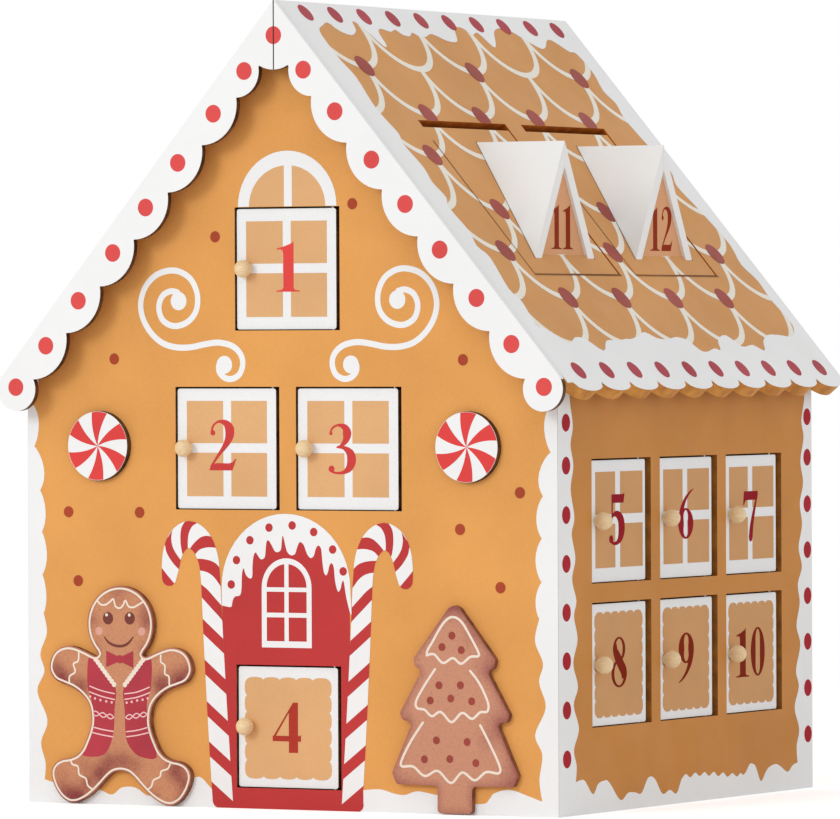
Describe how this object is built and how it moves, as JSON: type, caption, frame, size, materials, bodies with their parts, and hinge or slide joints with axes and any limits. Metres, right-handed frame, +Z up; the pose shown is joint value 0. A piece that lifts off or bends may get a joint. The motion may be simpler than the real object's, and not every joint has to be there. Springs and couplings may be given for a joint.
{
  "type": "wooden advent calendar house",
  "caption": "Wooden gingerbread-house advent calendar: gabled box with numbered hinged doors, round knobs, roof hatches with dormers and a compartment behind each.",
  "frame": {"origin": "middle of the bounding box at the height of the table that the house stands on", "axes": "+Z up, -Y out of the front panel with the gable, +X out of the right wall as seen from the front"},
  "size_m": [0.3018, 0.2824, 0.366],
  "materials": {
    "front_paint": "printed gingerbread orange with white icing",
    "side_paint": "printed gingerbread brown with white icing",
    "roof_paint": "printed gingerbread brown with white icing scales",
    "white_paint": "white paint with burnt brown edges",
    "front_door_paint": "printed white window frame with a red number",
    "side_door_paint": "printed white window frame with a red number",
    "bare_wood": "bare pale wood",
    "knob_wood": "turned, clear lacquer",
    "peppermint_paint": "red and white painted swirl",
    "cutout_paint": "painted gingerbread brown with pale icing lines and red details",
    "pin_steel": "drawn wire"
  },
  "bodies": {
    "house": {"front_panel": "front_paint", "back_panel": "front_paint", "left_wall": "side_paint", "right_wall": "side_paint", "base_board": "bare_wood", "inner_boards": "bare_wood", "hinge_pins": "pin_steel", "roof_left": "roof_paint", "roof_right": "roof_paint", "bargeboards": "white_paint", "peppermint_discs": "peppermint_paint", "gingerbread_cutouts": "cutout_paint"},
    "door_01": {"door_01": "front_door_paint", "knob_01": "knob_wood"},
    "door_02": {"door_02": "front_door_paint", "knob_02": "knob_wood"},
    "door_03": {"door_03": "front_door_paint", "knob_03": "knob_wood"},
    "door_04": {"door_04": "front_door_paint", "knob_04": "knob_wood"},
    "door_05": {"door_05": "side_door_paint", "knob_05": "knob_wood"},
    "door_06": {"door_06": "side_door_paint", "knob_06": "knob_wood"},
    "door_07": {"door_07": "side_door_paint", "knob_07": "knob_wood"},
    "door_08": {"door_08": "side_door_paint", "knob_08": "knob_wood"},
    "door_09": {"door_09": "side_door_paint", "knob_09": "knob_wood"},
    "door_10": {"door_10": "side_door_paint", "knob_10": "knob_wood"},
    "door_13": {"door_13": "front_door_paint", "knob_13": "knob_wood"},
    "door_14": {"door_14": "front_door_paint", "knob_14": "knob_wood"},
    "door_15": {"door_15": "front_door_paint", "knob_15": "knob_wood"},
    "door_16": {"door_16": "front_door_paint", "knob_16": "knob_wood"},
    "door_17": {"door_17": "side_door_paint", "knob_17": "knob_wood"},
    "door_18": {"door_18": "side_door_paint", "knob_18": "knob_wood"},
    "door_19": {"door_19": "side_door_paint", "knob_19": "knob_wood"},
    "door_20": {"door_20": "side_door_paint", "knob_20": "knob_wood"},
    "door_21": {"door_21": "side_door_paint", "knob_21": "knob_wood"},
    "door_22": {"door_22": "side_door_paint", "knob_22": "knob_wood"},
    "hatch_11": {"hatch_11": "roof_paint", "dormer_11": "white_paint"},
    "hatch_12": {"hatch_12": "roof_paint", "dormer_12": "white_paint"},
    "hatch_23": {"hatch_23": "roof_paint", "dormer_23": "white_paint"},
    "hatch_24": {"hatch_24": "roof_paint", "dormer_24": "white_paint"}
  },
  "joints": [
    {"name": "door_01_hinge", "type": "hinge", "parent": "house", "child": "door_01", "pos_m": [0.0222, -0.12635, 0.24487], "axis": [0, 0, 1], "range_deg": [0, 110]},
    {"name": "door_02_hinge", "type": "hinge", "parent": "house", "child": "door_02", "pos_m": [-0.0094, -0.12635, 0.16345], "axis": [0, 0, 1], "range_deg": [0, 110]},
    {"name": "door_03_hinge", "type": "hinge", "parent": "house", "child": "door_03", "pos_m": [0.0538, -0.12635, 0.16345], "axis": [0, 0, 1], "range_deg": [0, 110]},
    {"name": "door_04_hinge", "type": "hinge", "parent": "house", "child": "door_04", "pos_m": [0.0222, -0.12635, 0.03735], "axis": [0, 0, 1], "range_deg": [0, 110]},
    {"name": "door_05_hinge", "type": "hinge", "parent": "house", "child": "door_05", "pos_m": [0.1346, -0.04605, 0.13085], "axis": [0, 0, 1], "range_deg": [0, 110]},
    {"name": "door_06_hinge", "type": "hinge", "parent": "house", "child": "door_06", "pos_m": [0.1346, 0.02095, 0.13085], "axis": [0, 0, 1], "range_deg": [0, 110]},
    {"name": "door_07_hinge", "type": "hinge", "parent": "house", "child": "door_07", "pos_m": [0.1346, 0.08795, 0.13085], "axis": [0, 0, 1], "range_deg": [0, 110]},
    {"name": "door_08_hinge", "type": "hinge", "parent": "house", "child": "door_08", "pos_m": [0.1346, -0.04605, 0.06635], "axis": [0, 0, 1], "range_deg": [0, 110]},
    {"name": "door_09_hinge", "type": "hinge", "parent": "house", "child": "door_09", "pos_m": [0.1346, 0.02095, 0.06635], "axis": [0, 0, 1], "range_deg": [0, 110]},
    {"name": "door_10_hinge", "type": "hinge", "parent": "house", "child": "door_10", "pos_m": [0.1346, 0.08795, 0.06635], "axis": [0, 0, 1], "range_deg": [0, 110]},
    {"name": "door_13_hinge", "type": "hinge", "parent": "house", "child": "door_13", "pos_m": [-0.0222, 0.12385, 0.24487], "axis": [0, 0, 1], "range_deg": [0, 110]},
    {"name": "door_14_hinge", "type": "hinge", "parent": "house", "child": "door_14", "pos_m": [0.0094, 0.12385, 0.16345], "axis": [0, 0, 1], "range_deg": [0, 110]},
    {"name": "door_15_hinge", "type": "hinge", "parent": "house", "child": "door_15", "pos_m": [-0.0538, 0.12385, 0.16345], "axis": [0, 0, 1], "range_deg": [0, 110]},
    {"name": "door_16_hinge", "type": "hinge", "parent": "house", "child": "door_16", "pos_m": [-0.0222, 0.12385, 0.03735], "axis": [0, 0, 1], "range_deg": [0, 110]},
    {"name": "door_17_hinge", "type": "hinge", "parent": "house", "child": "door_17", "pos_m": [-0.1346, 0.04355, 0.13085], "axis": [0, 0, 1], "range_deg": [0, 110]},
    {"name": "door_18_hinge", "type": "hinge", "parent": "house", "child": "door_18", "pos_m": [-0.1346, -0.02345, 0.13085], "axis": [0, 0, 1], "range_deg": [0, 110]},
    {"name": "door_19_hinge", "type": "hinge", "parent": "house", "child": "door_19", "pos_m": [-0.1346, -0.09045, 0.13085], "axis": [0, 0, 1], "range_deg": [0, 110]},
    {"name": "door_20_hinge", "type": "hinge", "parent": "house", "child": "door_20", "pos_m": [-0.1346, 0.04355, 0.06635], "axis": [0, 0, 1], "range_deg": [0, 110]},
    {"name": "door_21_hinge", "type": "hinge", "parent": "house", "child": "door_21", "pos_m": [-0.1346, -0.02345, 0.06635], "axis": [0, 0, 1], "range_deg": [0, 110]},
    {"name": "door_22_hinge", "type": "hinge", "parent": "house", "child": "door_22", "pos_m": [-0.1346, -0.09045, 0.06635], "axis": [0, 0, 1], "range_deg": [0, 110]},
    {"name": "hatch_11_hinge", "type": "hinge", "parent": "house", "child": "hatch_11", "pos_m": [0.04791, -0.0483, 0.30515], "axis": [0, -1, 0], "range_deg": [0, 100]},
    {"name": "hatch_12_hinge", "type": "hinge", "parent": "house", "child": "hatch_12", "pos_m": [0.04791, 0.0508, 0.30515], "axis": [0, -1, 0], "range_deg": [0, 100]},
    {"name": "hatch_23_hinge", "type": "hinge", "parent": "house", "child": "hatch_23", "pos_m": [-0.04791, -0.0483, 0.30515], "axis": [0, 1, 0], "range_deg": [0, 100]},
    {"name": "hatch_24_hinge", "type": "hinge", "parent": "house", "child": "hatch_24", "pos_m": [-0.04791, 0.0508, 0.30515], "axis": [0, 1, 0], "range_deg": [0, 100]}
  ]
}
